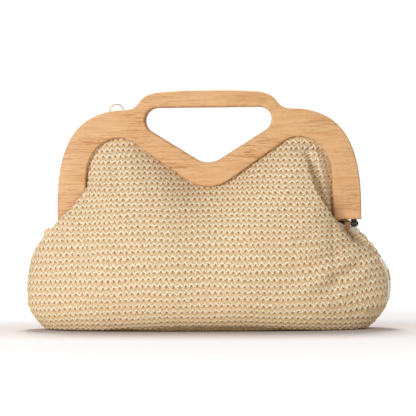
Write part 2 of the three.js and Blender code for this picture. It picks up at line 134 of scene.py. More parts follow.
def mix_node(material, fac, a, b, blend="MIX"):
    node = add_node(material, "ShaderNodeMix", data_type="RGBA", blend_type=blend)
    for socket, value in ((node.inputs[0], fac), (node.inputs[6], a), (node.inputs[7], b)):
        if isinstance(value, (int, float)):
            socket.default_value = value
        elif isinstance(value, tuple):
            socket.default_value = (*value, 1)
        else:
            link(material, value, socket)
    return node.outputs[2]


def noise_node(material, vector, scale, detail=4.0, roughness=0.5, distortion=0.0):
    node = add_node(material, "ShaderNodeTexNoise")
    node.inputs["Scale"].default_value = scale
    node.inputs["Detail"].default_value = detail
    node.inputs["Roughness"].default_value = roughness
    node.inputs["Distortion"].default_value = distortion
    link(material, vector, node.inputs["Vector"])
    return node.outputs["Fac"]


def stretched(material, scale=(1.0, 1.0, 1.0)):
    """The object's own coordinates in metres, scaled."""
    source = add_node(material, "ShaderNodeTexCoord")
    mapping = add_node(material, "ShaderNodeMapping")
    mapping.inputs["Scale"].default_value = scale
    link(material, source.outputs["Object"], mapping.inputs["Vector"])
    return mapping.outputs["Vector"]


def bump(material, shader, height, strength, distance):
    node = add_node(material, "ShaderNodeBump")
    node.inputs["Strength"].default_value = strength
    node.inputs["Distance"].default_value = distance
    link(material, height, node.inputs["Height"])
    link(material, node.outputs["Normal"], shader.inputs["Normal"])


def srgb(r, g, b):
    def linear(c):
        c /= 255
        return c / 12.92 if c <= 0.04045 else ((c + 0.055) / 1.055) ** 2.4

    return (linear(r), linear(g), linear(b))


def wood_material(name, light, middle, dark):
    """Plain-sawn wood: long bands along X, patches of fine dark dashes and short pores."""
    material, shader = new_material(name, roughness=0.4, specular=0.35)
    bands = noise_node(material, stretched(material, (2.6, 5.0, 44.0)), 3.0, 5.0, 0.6, 0.8)
    base = ramp_node(material, bands, [(0.34, middle), (0.5, light), (0.66, middle)])
    patches = noise_node(material, stretched(material, (6.0, 9.0, 26.0)), 2.0, 2.0, 0.5)
    where = ramp_node(material, patches, [(0.4, (0.16, 0.16, 0.16)), (0.6, (1, 1, 1))])
    streaks = noise_node(material, stretched(material, (20.0, 18.0, 330.0)), 3.2, 4.0, 0.66, 0.6)
    stops = [(0.49, (0, 0, 0)), (0.56, (0.55, 0.55, 0.55)), (0.67, (1, 1, 1))]
    streak = ramp_node(material, streaks, stops)
    streak_mask = mix_node(material, 1.0, streak, where, "MULTIPLY")
    streaked = mix_node(material, streak_mask, base, dark)
    pores = noise_node(material, stretched(material, (60.0, 60.0, 1100.0)), 3.0, 2.0, 0.5)
    pore_mask = ramp_node(material, pores, [(0.54, (0, 0, 0)), (0.7, (0.4, 0.4, 0.4))])
    colour = mix_node(material, pore_mask, streaked, tuple(c * 0.8 for c in dark))
    link(material, colour, shader.inputs["Base Color"])
    bump(material, shader, pores, 0.12, 0.0002)
    return material


def scaled_uv(material, uv, scale):
    mapping = add_node(material, "ShaderNodeMapping")
    mapping.inputs["Scale"].default_value = (*scale, 1.0)
    link(material, uv.outputs["UV"], mapping.inputs["Vector"])
    return mapping.outputs["Vector"]


def stitch_place(material, uv):
    """Where a point lies in the weave: its share of the way up a zigzag, its share of a row, and
    its distance from the middle of the cord in rows."""
    parts = add_node(material, "ShaderNodeSeparateXYZ")
    link(material, uv.outputs["UV"], parts.inputs["Vector"])
    half_period = ZIGZAG_PERIOD / 2
    swing = math_node(material, "PINGPONG", parts.outputs["X"], half_period)
    triangle = math_node(material, "DIVIDE", swing, half_period)
    raised = math_node(material, "MULTIPLY_ADD", triangle, -ZIGZAG_HEIGHT, parts.outputs["Y"])
    rows = math_node(material, "DIVIDE", raised, ROW_PITCH)
    row = math_node(material, "FRACT", rows)
    distance = math_node(material, "ABSOLUTE", math_node(material, "SUBTRACT", row, 0.5))
    return triangle, row, distance


def cord_colour(material, uv, fibre, distance):
    """Pale on the crest of a cord, tan between the cords, and speckled all over."""
    frayed = math_node(material, "MULTIPLY_ADD", fibre, 0.9, product(material, distance, 2.0))
    stops = [
        (0.0, srgb(255, 250, 232)),
        (0.16, srgb(255, 246, 222)),
        (0.34, srgb(240, 216, 178)),
        (0.95, srgb(231, 203, 161)),
    ]
    cords = ramp_node(material, math_node(material, "SUBTRACT", frayed, 0.42, clamp=True), stops)
    grain = noise_node(material, scaled_uv(material, uv, (1.0, 0.8)), 1.0, 2.0, 0.6)
    stops = [(0.35, (0.56, 0.48, 0.39)), (0.5, (0.94, 0.93, 0.91)), (0.63, (1.13, 1.13, 1.15))]
    return mix_node(material, 1.0, cords, ramp_node(material, grain, stops), "MULTIPLY")


def hollow_shade_masks(material, triangle, row, distance, fibre, patch):
    """Masks of painted shade: the groove between two cords, and the pit under each point of a
    zigzag.
    """
    at_point = math_node(material, "MULTIPLY_ADD", triangle, 2.6, -1.3, clamp=True)
    ragged = math_node(material, "MULTIPLY_ADD", fibre, 1.6, -0.05, clamp=True)
    blotchy = math_node(material, "MULTIPLY_ADD", patch, 1.6, 0.1, clamp=True)
    between = math_node(material, "MULTIPLY_ADD", distance, 6.0, -1.5, clamp=True)
    groove = product(material, between, at_point, ragged)
    above_pit = math_node(material, "SUBTRACT", row, PIT_ROW)
    off_pit = math_node(material, "DIVIDE", above_pit, PIT_WIDTH)
    squared = product(material, off_pit, off_pit)
    near_pit = math_node(material, "SUBTRACT", 1.25, squared, clamp=True)
    pit = product(material, near_pit, at_point, blotchy, ragged)
    return groove, pit


def straw_material(name, tone=1.0):
    """Cream zigzag cords with brown painted shade in the groove between cords and in the pit
    under each point; the UV map "cloth_mm" holds the weave's own coordinates in mm. A tone below
    1 is painted shade that darkens and browns the whole cloth."""
    material, shader = new_material(name, roughness=0.62, specular=0.2)
    uv = add_node(material, "ShaderNodeUVMap", uv_map="cloth_mm")
    triangle, row, distance = stitch_place(material, uv)
    fibre = noise_node(material, scaled_uv(material, uv, (0.9, 0.75)), 1.0, 4.0, 0.75)
    patch = noise_node(material, scaled_uv(material, uv, (0.2, 0.26)), 1.0, 2.0, 0.5)
    groove, pit = hollow_shade_masks(material, triangle, row, distance, fibre, patch)
    cords = cord_colour(material, uv, fibre, distance)
    # Painted shade: mid brown in the groove between cords, deep brown in the pit under each
    # point.
    groove_shade_share = math_node(material, "MULTIPLY", groove, 0.7, clamp=True)
    groove_shaded = mix_node(material, groove_shade_share, cords, srgb(196, 150, 104))
    pit_shade_share = math_node(material, "MULTIPLY", pit, 1.5, clamp=True)
    pit_shaded = mix_node(material, pit_shade_share, groove_shaded, srgb(160, 106, 50))
    # The tone scales the colour: below 1 it is painted shade. The worn patches are random wear.
    shade_tone = (tone, tone**1.2, tone**1.5)
    worn = tuple(share * c for share, c in zip((0.92, 0.9, 0.87), shade_tone))
    wear_and_shade_tone = ramp_node(material, patch, [(0.3, worn), (0.65, shade_tone)])
    link(material, mix_node(material, 1.0, pit_shaded, wear_and_shade_tone, "MULTIPLY"), shader.inputs["Base Color"])
    rough = math_node(material, "MULTIPLY_ADD", fibre, 0.25, 0.5)
    link(material, rough, shader.inputs["Roughness"])
    bump(material, shader, fibre, 0.5, 0.0006)
    return material


def cloth_material(name, light, dark, thread=900.0):
    """Plain-woven cloth of fine threads."""
    material, shader = new_material(name, roughness=0.9, specular=0.15)
    threads = noise_node(material, stretched(material), thread, 2.0)
    tone = noise_node(material, stretched(material), 18.0, 3.0)
    mixed = math_node(material, "MULTIPLY_ADD", threads, 0.6, product(material, tone, 0.4))
    colour = ramp_node(material, mixed, [(0.35, dark), (0.65, light)])
    link(material, colour, shader.inputs["Base Color"])
    bump(material, shader, threads, 0.4, 0.0003)
    return material


def metal_material(name, colour, roughness):
    material, shader = new_material(name, roughness=roughness, metallic=1.0, specular=0.5)
    wear = noise_node(material, stretched(material), 220.0, 4.0)
    darker = tuple(c * 0.72 for c in colour)
    worn = ramp_node(material, wear, [(0.35, darker), (0.62, colour)])
    link(material, worn, shader.inputs["Base Color"])
    rough = math_node(material, "MULTIPLY_ADD", wear, 0.2, roughness - 0.08)
    link(material, rough, shader.inputs["Roughness"])
    return material


def leather_material(name, light, dark):
    material, shader = new_material(name, roughness=0.6, specular=0.3)
    grain = noise_node(material, stretched(material), 700.0, 4.0)
    colour = ramp_node(material, grain, [(0.3, dark), (0.7, light)])
    link(material, colour, shader.inputs["Base Color"])
    bump(material, shader, grain, 0.5, 0.0003)
    return material


# ---- mesh helpers ----
def mesh_object(name, vertices, faces):
    mesh = bpy.data.meshes.new(name)
    mesh.from_pydata([tuple(v) for v in vertices], [], faces)
    mesh.validate()
    piece = bpy.data.objects.new(name, mesh)
    bpy.context.scene.collection.objects.link(piece)
    return piece


def dress(piece, material, crease_degrees):
    piece.data.materials.clear()
    piece.data.materials.append(material)
    piece.data.shade_smooth()
    piece.data.set_sharp_from_angle(angle=math.radians(crease_degrees))


# ---- frame plates ----
def arc(centre, radius, start, stop, steps):
    angles = np.linspace(start, stop, steps)
    return [(centre[0] + radius * math.cos(a), centre[1] + radius * math.sin(a)) for a in angles]


def bezier(p0, p1, p2, p3, steps):
    t = np.linspace(0, 1, steps)[:, None]
    p0, p1, p2, p3 = (np.array(p, float) for p in (p0, p1, p2, p3))
    points = (1 - t) ** 3 * p0 + 3 * (1 - t) ** 2 * t * p1 + 3 * (1 - t) * t**2 * p2 + t**3 * p3
    return [tuple(p) for p in points]


def distinct(points, least=0.2):
    kept = [points[0]]
    for p in points[1:]:
        if math.dist(p, kept[-1]) > least:
            kept.append(p)
    return kept


def lower_edge_half():
    tip_x = V_RADIUS * math.sin(V_SLOPE)
    tip_rise = V_RADIUS * (1 - math.cos(V_SLOPE))
    rise, reach, slope = ARCH_TOP_Z - V_TIP_Z - tip_rise, ARCH_X - tip_x, math.tan(V_SLOPE)
    radius = (reach * slope - rise) / (math.sin(V_SLOPE) * slope + math.cos(V_SLOPE) - 1)
    points = arc((0, V_TIP_Z + V_RADIUS), V_RADIUS, -math.pi / 2, -math.pi / 2 + V_SLOPE, 16)
    points += arc(
        (ARCH_X, ARCH_TOP_Z - radius), radius, math.pi / 2 + V_SLOPE, math.pi / 2, 14
    )
    for angle in np.linspace(math.pi / 2, 0, 30):
        points.append(
            (
                ARCH_X + (ARCH_INNER - ARCH_X) * math.cos(angle),
                ARCH_SPRING_Z + (ARCH_TOP_Z - ARCH_SPRING_Z) * math.sin(angle),
            )
        )
    points.append((LEG_INNER, FOOT_Z))
    return distinct(points)


def outer_edge_half():
    w, s, t = HALF_WIDTH, SHOULDER_Z, HANDLE_TOP_Z
    points = [(w, FOOT_Z)]
    points += bezier((w, FOOT_Z + 14), (w, s - 26), (w - 22, s - 0.8), (w - 64, s), 40)
    points += bezier((w - 64, s), (w - 70, s + 0.2), (w - 73.5, s + 1.6), (w - 77, s + 6), 10)
    points += bezier((w - 77, s + 6), (w - 81, s + 12), (w - 86, t - 2.6), (w - 98, t - 1.4), 16)
    points += bezier((w - 98, t - 1.4), (w - 112, t - 0.3), (w - 126, t), (0, t), 12)
    return distinct(points)


def slot_outline():
    tip_z = SLOT_TIP_Z + SLOT_TIP_RADIUS
    along = math.atan2(SLOT_END[1] - tip_z, SLOT_END[0])
    apart = math.hypot(SLOT_END[0], SLOT_END[1] - tip_z)
    tangent = along - math.acos((SLOT_TIP_RADIUS - SLOT_END_RADIUS) / apart)
    right = arc(SLOT_END, SLOT_END_RADIUS, math.pi / 2, tangent, 18)
    tip = arc((0, tip_z), SLOT_TIP_RADIUS, tangent, -math.pi - tangent, 24)
    left = [(-x, z) for x, z in reversed(right)]
    return distinct(right + tip + left)


def mirrored(points):
    return [(-x, z) for x, z in reversed(points)]


def offset_edge(distance):
    """The lower edge, moved into the wood by a distance."""
    points = np.array(LOWER_EDGE)
    ahead = np.vstack([points[1:], points[-1:]])
    behind = np.vstack([points[:1], points[:-1]])
    along = ahead - behind
    along /= np.linalg.norm(along, axis=1)[:, None]
    return points + distance * np.stack([-along[:, 1], along[:, 0]], axis=1)


def prism(name, outline, holes, y_low, y_high, radius):
    """A plate in the XZ plane with rounded edges, as a mesh."""
    curve = bpy.data.curves.new(name, "CURVE")
    curve.dimensions = "2D"
    curve.fill_mode = "BOTH"
    curve.extrude = ((y_high - y_low) / 2 - radius) * MM
    curve.bevel_depth = radius * MM
    curve.bevel_resolution = 4 if radius else 0
    curve.offset = -radius * MM
    for loop in [outline, *holes]:
        spline = curve.splines.new("POLY")
        spline.points.add(len(loop) - 1)
        for point, (x, z) in zip(spline.points, loop):
            point.co = (x * MM, z * MM, 0, 1)
        spline.use_cyclic_u = True
    holder = bpy.data.objects.new(name, curve)
    bpy.context.scene.collection.objects.link(holder)
    bpy.context.view_layer.update()
    graph = bpy.context.evaluated_depsgraph_get()
    mesh = bpy.data.meshes.new_from_object(holder.evaluated_get(graph))
    bpy.data.objects.remove(holder)
    flat = bmesh.new()
    flat.from_mesh(mesh)
    bmesh.ops.remove_doubles(flat, verts=flat.verts, dist=1e-6)
    middle = (y_low + y_high) / 2 * MM
    for vertex in flat.verts:
        x, z, y = vertex.co
        vertex.co = (x, middle - y, z)
    bmesh.ops.recalc_face_normals(flat, faces=flat.faces)
    flat.to_mesh(mesh)
    flat.free()
    piece = bpy.data.objects.new(name, mesh)
    bpy.context.scene.collection.objects.link(piece)
    return piece


def carve(piece, tool):
    """Cuts tool out of piece and removes tool."""
    cut = piece.modifiers.new("cut", "BOOLEAN")
    cut.operation = "DIFFERENCE"
    cut.solver = "EXACT"
    cut.object = tool
    bpy.context.view_layer.update()
    graph = bpy.context.evaluated_depsgraph_get()
    mesh = bpy.data.meshes.new_from_object(piece.evaluated_get(graph))
    piece.modifiers.clear()
    piece.data = mesh
    bpy.data.objects.remove(tool)


def frame_plate(name, side):
    low, high = sorted((side * INNER_Y, side * OUTER_Y))
    plate = prism(name, PLATE_OUTLINE, [slot_outline()], low, high, ROUND_OVER)
    near, far = offset_edge(-3.0), offset_edge(REBATE_WIDTH)
    for row in (near, far):
        row[[0, -1], 1] = FOOT_Z - 2
    band = [tuple(p) for p in near] + [tuple(p) for p in far[::-1]]
    low, high = sorted((side * (INNER_Y - 1), side * (INNER_Y + REBATE_DEPTH)))
    carve(plate, prism(name + "_rebate", band, [], low, high, 0))
    return plate


# ---- cloth surface ----
def edge_height(x):
    """Height of the plates' lower edge above x."""
    return np.interp(np.abs(x), EDGE_X, EDGE_Z)


def window_edge(z):
    """Inner edge of the legs and arches at height z."""
    share = np.clip((z - ARCH_SPRING_Z) / (ARCH_TOP_Z - ARCH_SPRING_Z), 0, 1)
    arch = ARCH_X + (ARCH_INNER - ARCH_X) * math.sqrt(1 - share**2)
    leg = np.interp(z, (FOOT_Z, ARCH_SPRING_Z), (LEG_INNER, ARCH_INNER))
    return leg if z < ARCH_SPRING_Z else arch


def ease(t):
    return t * t * (3 - 2 * t)


def keyed(keys, z):
    """The value at z of a line through (z, value) keys."""
    return float(np.interp(z, *zip(*keys)))


# Side seam: distance from the middle at each height.
SEAM = {
    -1: [(0, 154), (4, 159), (10, 164.5), (17.5, 169.8), (25, 172.2), (40, 172.8), (50, 172),
         (60, 170.4), (68, 168.4), (76, 165.2), (83, 160.4), (90, 156), (95, 147), (98, 138)],
    1: [(0, 146), (6, 152.5), (12, 158.5), (20, 164), (30, 168), (42, 168.8), (54, 166.6),
        (62, 163.4), (69, 159.4), (76, 154.6), (83, 148.6), (88, 143), (92, 138), (95, 131)],
}
# Fold of the cloth that bellies out past the leg: distance from the middle at each height.
FOLD_X = {
    -1: [(60, 169.5), (72, 166), (82, 160), (89, 155), (94, 149.5), (99, 145), (104, 140.5),
         (110, 133.5), (115, 128), (122, 122.5), (128, 118.2), (134, 113.6), (142, 111.6)],
    1: [(58, 166), (66, 159), (73, 152), (78, 145), (80.5, 139), (83, 133.5), (87, 129.4),
        (93, 124), (102, 118), (109, 113.5), (118, 107.5), (127, 102), (138, 97.6), (150, 94),
        (160, 91), (176, 86)],
}
FOLD_DEPTH = {
    -1: [(58, 1.5), (72, 4), (84, 8), (92, 11), (100, 14), (108, 16.5), (118, 16.5), (128, 14.5),
         (136, 12.4), (142, 11)],
    1: [(56, 1.5), (66, 6), (74, 10), (80, 14), (86, 18), (92, 21), (102, 24), (114, 25)],
}
# How far the right fold stands in front of the cloth between it and the leg.
FOLD_STEP = [(102, 17), (116, 18), (130, 17), (144, 13), (156, 8), (168, 2), (190, 0)]


def cloth_depth(x, z):
    """Depth of the open face of the cloth, before it rounds off at its edges."""
    below = np.maximum(edge_height(x) - EDGE_CLEARANCE - z, 0)
    in_arch = ease(np.clip((np.abs(x) - V_RADIUS) / (ARCH_X - V_RADIUS), 0, 1))
    swell = BULGE * (1 - np.exp(-below / (BULGE_LENGTH + (ARCH_LENGTH - BULGE_LENGTH) * in_arch)))
    tuck = 1 - 0.2 * (1 - np.clip(z / 38, 0, 1)) ** 2
    return (HEM_Y + swell) * tuck


def folded(x, z):
    """Creases and ripples of the open face, as a change of depth."""
    change = np.zeros_like(x)
    calm = np.clip((edge_height(x) - z) / 25, 0, 1)
    for start_x, start_z, angle, length, height in RIPPLES:
        a = math.radians(angle)
        along = (x - start_x) * math.cos(a) + (z - start_z) * math.sin(a)
        off = -(x - start_x) * math.sin(a) + (z - start_z) * math.cos(a)
        width = 3.5 + 0.06 * np.maximum(along, 0)
        run = np.clip(along / 12, 0, 1) * np.clip((length - along) / (0.55 * length), 0, 1)
        change = change + height * run * np.exp(-((off / width) ** 2)) * calm
    slow = np.sin(x / 23 + z / 31) * np.sin(z / 17 - x / 47) + 0.6 * np.sin(x / 11 - z / 29)
    return change + 0.75 * slow * calm


# Ripples: start x, start z, direction in degrees, length, height.
RIPPLES = [
    (134, 84, 196, 90, 2.4),
    (137, 79, 207, 85, -2.6),
    (142, 74, 214, 85, 3.2),
    (150, 68, 217, 75, -4.4),
    (155, 60, 219, 62, 2.6),
    (112, 118, 222, 90, 1.8),
    (-128, 104, -38, 80, 1.8),
    (-140, 96, -52, 70, -1.6),
    (-150, 88, -62, 55, 1.4),
    (-91, 170, -76, 52, -3.4),
    (-88, 134, 229, 48, -2.2),
    (-104, 138, -52, 90, 1.6),
    (-62, 160, -70, 60, -1.0),
    (60, 150, 250, 60, -1.0),
]


def smooth_path(points, steps):
    """A Catmull-Rom curve through a few points."""
    p = np.array(points, float)
    p = np.vstack([2 * p[0] - p[1], p, 2 * p[-1] - p[-2]])
    out = []
    for i in range(1, len(p) - 2):
        t = np.linspace(0, 1, steps, endpoint=False)[:, None]
        a, b, c, d = p[i - 1 : i + 3]
        out.append(
            0.5 * (2 * b + (c - a) * t + (2 * a - 5 * b + 4 * c - d) * t**2
                   + (3 * b - a - 3 * c + d) * t**3)
        )
    return np.vstack([*out, p[-2:-1]])


def smooth_step(low, high, value):
    return float(ease(np.clip((value - low) / (high - low), 0, 1)))


def toward(a, b, share):
    return tuple(p + (q - p) * share for p, q in zip(a, b))


def fold_point(z, hand, plain, seam, way_out):
    """Where the open face of the cloth turns back, as (distance, depth)."""
    if z < 60:
        return (seam, 1.3)
    fold = (keyed(FOLD_X[hand], z), keyed(FOLD_DEPTH[hand], z))
    flat = (way_out[0], 6.2)
    if plain:
        other = (keyed(FOLD_X[-hand], z), keyed(FOLD_DEPTH[-hand], z))
        between = toward(fold, other, 0.5)
        if z < FOOT_Z - 0.6:
            between = (min(between[0], seam - 0.4), between[1])
        return toward(between, flat, smooth_step(104, 128, z))
    if hand < 0:
        return toward(fold, flat, smooth_step(132, 156, z))
    bare = float(cloth_depth(np.array([fold[0]]), z)[0])
    raised = toward(fold, (fold[0], 0.86 * bare + 1.0), smooth_step(104, 122, z))
    return toward(raised, flat, smooth_step(164, 178, z))


def beyond_fold(z, hand, plain, fold, seam, way_out, end):
    """Points from the fold back to the seam or into the frame's rebate."""
    creased = hand > 0 and not plain
    leg = window_edge(z)
    if z > FOOT_Z - 0.6:
        if fold[0] > leg - 1:
            return [fold, (fold[0] - 1.5, 13.2), (leg + 1.0, 13.0), (leg - 1.9, 11.5),
                    way_out, end]
        step = keyed(FOLD_STEP, z) if creased else 0
        valley = max(fold[1] - step, 5.6)
        tuck = min(0.26 * step, 4.0)
        rise = min(1.0, step / 10)
        room = way_out[0] - fold[0]
        return [fold, (fold[0] - 0.4 * tuck, fold[1] - 0.4 * (fold[1] - valley)),
                (fold[0] - tuck + 0.06 * room, valley + 0.8 * rise),
                (fold[0] + 0.2 * room, valley),
                (fold[0] + 0.62 * room, valley + 1.6 * rise), way_out, end]
    gap = max(seam - fold[0], 0)
    if creased and z > STRAP_LOW_Z - 4:
        under = 3.6 - 2.9 * smooth_step(STRAP_LOW_Z - 4, STRAP_LOW_Z + 2, z)
        lump = 0.2 + 0.032 * gap
        return [fold, (fold[0] + 0.6, 0.6 * fold[1]), (fold[0] + 1.2, under + 0.6),
                (fold[0] + 2.4, under), (fold[0] + 0.5 * gap, under + lump),
                (fold[0] + 0.85 * gap, 0.6 * under + 0.2), way_out, end]
    valley = min(fold[1], 3.6 + 0.05 * gap)
    return [fold, (fold[0] + 0.03 * gap, fold[1] - 0.5 * (fold[1] - valley)),
            (fold[0] + 0.1 * gap, valley), (fold[0] + 0.45 * gap, valley + 0.1 * gap),
            (fold[0] + 0.85 * gap, 0.7 * valley + 1.0), way_out, end]


def half_section(z, hand, plain, columns):
    """One level of the cloth from the middle to the seam or hem: (distance, depth) pairs and the
    length along the cloth. The open face always has the same share of the columns."""
    creased = hand > 0 and not plain
    seam = keyed(SEAM[hand], z)
    leg = window_edge(z)
    if z > FOOT_Z - 0.6:
        way_out = (leg - 1.6, 6.0)
        end = (leg + HEM_WIDTH, HEM_Y)
    elif creased:
        way_out = (seam - 0.8, 0.9)
        end = (seam - 3.0, 0.5)
    else:
        leaving = np.clip((z - FOOT_Z + 9) / 6, 0, 1)
        way_out = (seam - 0.8 - leaving * (seam - LEG_INNER), 0.9 + 3.7 * leaving)
        end = (seam - 3.0 - leaving * (seam - LEG_INNER - 1), 0.5 + 3.5 * leaving)
    fold = fold_point(z, hand, plain, seam, way_out)
    share = np.sin(np.linspace(0, math.pi / 2, 90))
    x = hand * share * fold[0]
    square = 3.0
    if creased:
        square += 4.0 * smooth_step(80, 104, z) * (1 - smooth_step(160, 176, z))
    round_off = (1 - share**square) ** 0.55
    open_face = rolled_under(cloth_depth(x, z) + folded(x, z), z)
    depth = fold[1] * (1 - round_off) + open_face * round_off
    face = np.stack([share * fold[0], depth], axis=1)
    tail = smooth_path(beyond_fold(z, hand, plain, fold, seam, way_out, end), 10)
    on_face = round(FACE_SHARE * columns)
    face, face_length = resample(face, on_face)
    tail, tail_length = resample(tail, columns - on_face + 1)
    length = np.concatenate([face_length, face_length[-1] + tail_length[1:]])
    return np.vstack([face, tail[1:]]), length


def resample(path, count):
    steps = np.linalg.norm(np.diff(path, axis=0), axis=1) + 1e-9
    length = np.concatenate([[0], np.cumsum(steps)])
    at = np.linspace(0, length[-1], count)
    return np.stack([np.interp(at, length, path[:, i]) for i in range(2)], axis=1), at


# Share of the cloth's own length that shows as height: it leans most under the frame.
LEAN = [(0, 0.5), (8, 0.66), (16, 0.86), (30, 0.96), (61, 0.95), (79, 0.89), (98, 0.81),
        (117, 0.73), (140, 0.75), (160, 0.79), (190, 0.8)]


def levels(step):
    """Heights that are evenly spaced along the cloth, and their length from the base."""
    z = np.linspace(LOW_Z, HIGH_Z, 2000)
    lean = np.interp(z, *zip(*LEAN))
    length = np.concatenate([[0], np.cumsum(np.diff(z) / lean[1:])])
    count = int(length[-1] / step)
    at = np.linspace(0, length[-1], count)
    return np.interp(at, length, z), at


def bottom_lift(x):
    """The pouch's lower edge arches up a little between the two ends that it stands on."""
    return 3.2 * np.clip(1 - ((x - 4) / 114) ** 2, 0, 1) ** 1.3


def lifted(x, z):
    """Height of the cloth at x when its straight level is z."""
    return z + bottom_lift(x) * np.clip(1 - z / 40, 0, 1)


def rolled_under(depth, z):
    """The cloth rolls in towards the base on its last few millimetres."""
    share = np.clip(1 - z / ROLL_HEIGHT, 0, 1)
    return depth - ROLL_DEPTH * (1 - np.sqrt(1 - share**2))


def row_droop(u, z):
    """How far the rows of the weave hang below straight ones; they rise to the right hinge."""
    at_hinge = smooth_step(4, 40, z) * (1 - smooth_step(80, 104, z))
    rising = np.clip((u - 70) / 110, 0, 1) ** 1.5 * at_hinge
    return 4.0 * (np.minimum(u, 60) / 190) ** 2 - 13.0 * rising


def cloth_grid(side, across, step, plain):
    """Points (rows, columns, 3) and the cloth's own coordinates (rows, columns, 2), in mm."""
    heights, up = levels(step)
    rows, own = [], []
    for z, v in zip(heights, up):
        left, left_length = half_section(z, -1, plain, across)
        right, right_length = half_section(z, 1, plain, across)
        x = np.concatenate([-left[::-1, 0], right[1:, 0]])
        depth = np.concatenate([left[::-1, 1], right[1:, 1]])
        u = np.concatenate([-left_length[::-1], right_length[1:]])
        rows.append(np.stack([x, side * depth, lifted(x, z)], axis=1))
        own.append(np.stack([u, v + row_droop(u, z)], axis=1))
    points = np.array(rows)
    for _ in range(3):
        points = soften(points, axis=0)
        points = soften(points, axis=1)
    return points, uneven(np.array(own))


def soften(points, axis):
    """One pass of 1-2-1 averaging that leaves the ends where they are."""
    moved = points.copy()
    if axis == 0:
        moved[1:-1] = 0.25 * points[:-2] + 0.5 * points[1:-1] + 0.25 * points[2:]
    else:
        moved[:, 1:-1] = 0.25 * points[:, :-2] + 0.5 * points[:, 1:-1] + 0.25 * points[:, 2:]
    return moved


def grid_normals(points, side):
    up = np.gradient(points, axis=0)
    across = np.gradient(points, axis=1)
    normals = np.cross(across, up) * (-side)
    return normals / (np.linalg.norm(normals, axis=2)[..., None] + 1e-9)


def value_noise(u, v, cell, seed):
    """Smooth noise from -1 to 1 with one random value for each cell."""
    size = 96
    table = np.random.default_rng(seed).uniform(-1, 1, (size, size))
    i, j = np.floor(u / cell[0]).astype(int), np.floor(v / cell[1]).astype(int)
    a, b = ease(u / cell[0] - i), ease(v / cell[1] - j)
    left, right, bottom, top = i % size, (i + 1) % size, j % size, (j + 1) % size
    low = table[left, bottom] * (1 - a) + table[right, bottom] * a
    high = table[left, top] * (1 - a) + table[right, top] * a
    return low * (1 - b) + high * b


def uneven(own):
    """The weave's own coordinates: hand work wanders a little from the cloth's straight rows."""
    u, v = own[..., 0], own[..., 1]
    sideways = 1.9 * value_noise(u, v, (22, 9), 3) + 0.6 * value_noise(u, v, (6, 6), 4)
    upwards = 1.3 * value_noise(u, v, (30, 14), 5) + 0.6 * value_noise(u, v, (6, 6), 6)
    return np.stack([u + sideways, v + upwards], axis=-1)


def weave(own):
    """Height of the stitches above the ground of the cloth, about -0.5 in a pit to 1."""
    u, v = own[..., 0], own[..., 1]
    triangle = 1 - np.abs(((u / (ZIGZAG_PERIOD / 2)) % 2) - 1)
    row = ((v - triangle * ZIGZAG_HEIGHT) / ROW_PITCH) % 1
    lean = 1 / math.hypot(1, 2 * ZIGZAG_HEIGHT / ZIGZAG_PERIOD)
    off = np.abs(row - 0.5) * ROW_PITCH * lean
    stitch = np.exp(-((off / CORD_HALF) ** 2)) * (1 - 0.25 * (2 * triangle - 1) ** 2)
    pit = np.clip(2.2 * triangle - 1, 0, 1) * np.exp(-(((row - PIT_ROW) / PIT_WIDTH) ** 2))
    return stitch - 0.75 * pit


def in_wood(points):
    """True where a point lies further behind the plates than the hem reaches."""
    x, depth, z = np.abs(points[..., 0]), np.abs(points[..., 1]), points[..., 2]
    behind = (z > FOOT_Z) & ((z > edge_height(x)) | (x > LEG_INNER - 1)) & (depth < 12)
    edge = resample(np.array(LOWER_EDGE), 500)[0]
    far = np.zeros(x.shape, bool)
    for i, j in np.argwhere(behind):
        gap = np.min(np.hypot(edge[:, 0] - points[i, j, 0], edge[:, 1] - z[i, j]))
        far[i, j] = gap > HEM_WIDTH + 0.4
    return far


def grid_object(name, points, own, keep):
    """A mesh of quads through a grid of points in mm; keep is a mask of its vertices."""
    n, m = points.shape[:2]
    number = np.arange(n * m).reshape(n, m)
    corners = [number[:-1, :-1], number[:-1, 1:], number[1:, 1:], number[1:, :-1]]
    quads = np.stack(corners, axis=-1).reshape(-1, 4)
    shown = keep.reshape(-1)[quads].all(axis=1)
    used = np.unique(quads[shown])
    renumber = np.full(n * m, -1)
    renumber[used] = np.arange(len(used))
    quads = renumber[quads[shown]]
    mesh = bpy.data.meshes.new(name)
    mesh.vertices.add(len(used))
    mesh.vertices.foreach_set("co", (points.reshape(-1, 3)[used] * MM).ravel())
    mesh.loops.add(quads.size)
    mesh.loops.foreach_set("vertex_index", quads.ravel())
    mesh.polygons.add(len(quads))
    mesh.polygons.foreach_set("loop_start", np.arange(0, quads.size, 4))
    mesh.update()
    uv = mesh.uv_layers.new(name="cloth_mm")
    uv.data.foreach_set("uv", own.reshape(-1, 2)[used][quads.ravel()].ravel())
    mesh.validate()
    mesh.shade_smooth()
    piece = bpy.data.objects.new(name, mesh)
    bpy.context.scene.collection.objects.link(piece)
    return piece


def whole(points):
    """A mask that keeps every vertex of a grid."""
    return np.ones(points.shape[:2], bool)


def thicken(piece, thickness):
    """Gives a sheet a thickness in mm, half of it on each side."""
    solid = piece.modifiers.new("thickness", "SOLIDIFY")
    solid.thickness = thickness * MM
    solid.offset = 0


def follow_frame(piece):
    """Bakes the piece's transform into its mesh and reads its points into an array."""
    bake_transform(piece)
    co = np.empty(len(piece.data.vertices) * 3)
    piece.data.vertices.foreach_get("co", co)
    co = co.reshape(-1, 3)


def panel(name, side, plain):
    points, own = cloth_grid(side, PANEL_COLUMNS, PANEL_STEP, plain)
    keep = ~in_wood(points)
    normals = grid_normals(points, side)
    hem = (np.abs(points[..., 1]) < 6.6) & (points[..., 2] > FOOT_Z)
    lift = (weave(own) - 0.5) * RELIEF * np.where(hem, 0.3, 1.0)
    piece = grid_object(name, points + normals * lift[..., None], own, keep)
    dress(piece, straw, ALL_SMOOTH)
    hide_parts(name)
    follow_frame(piece)


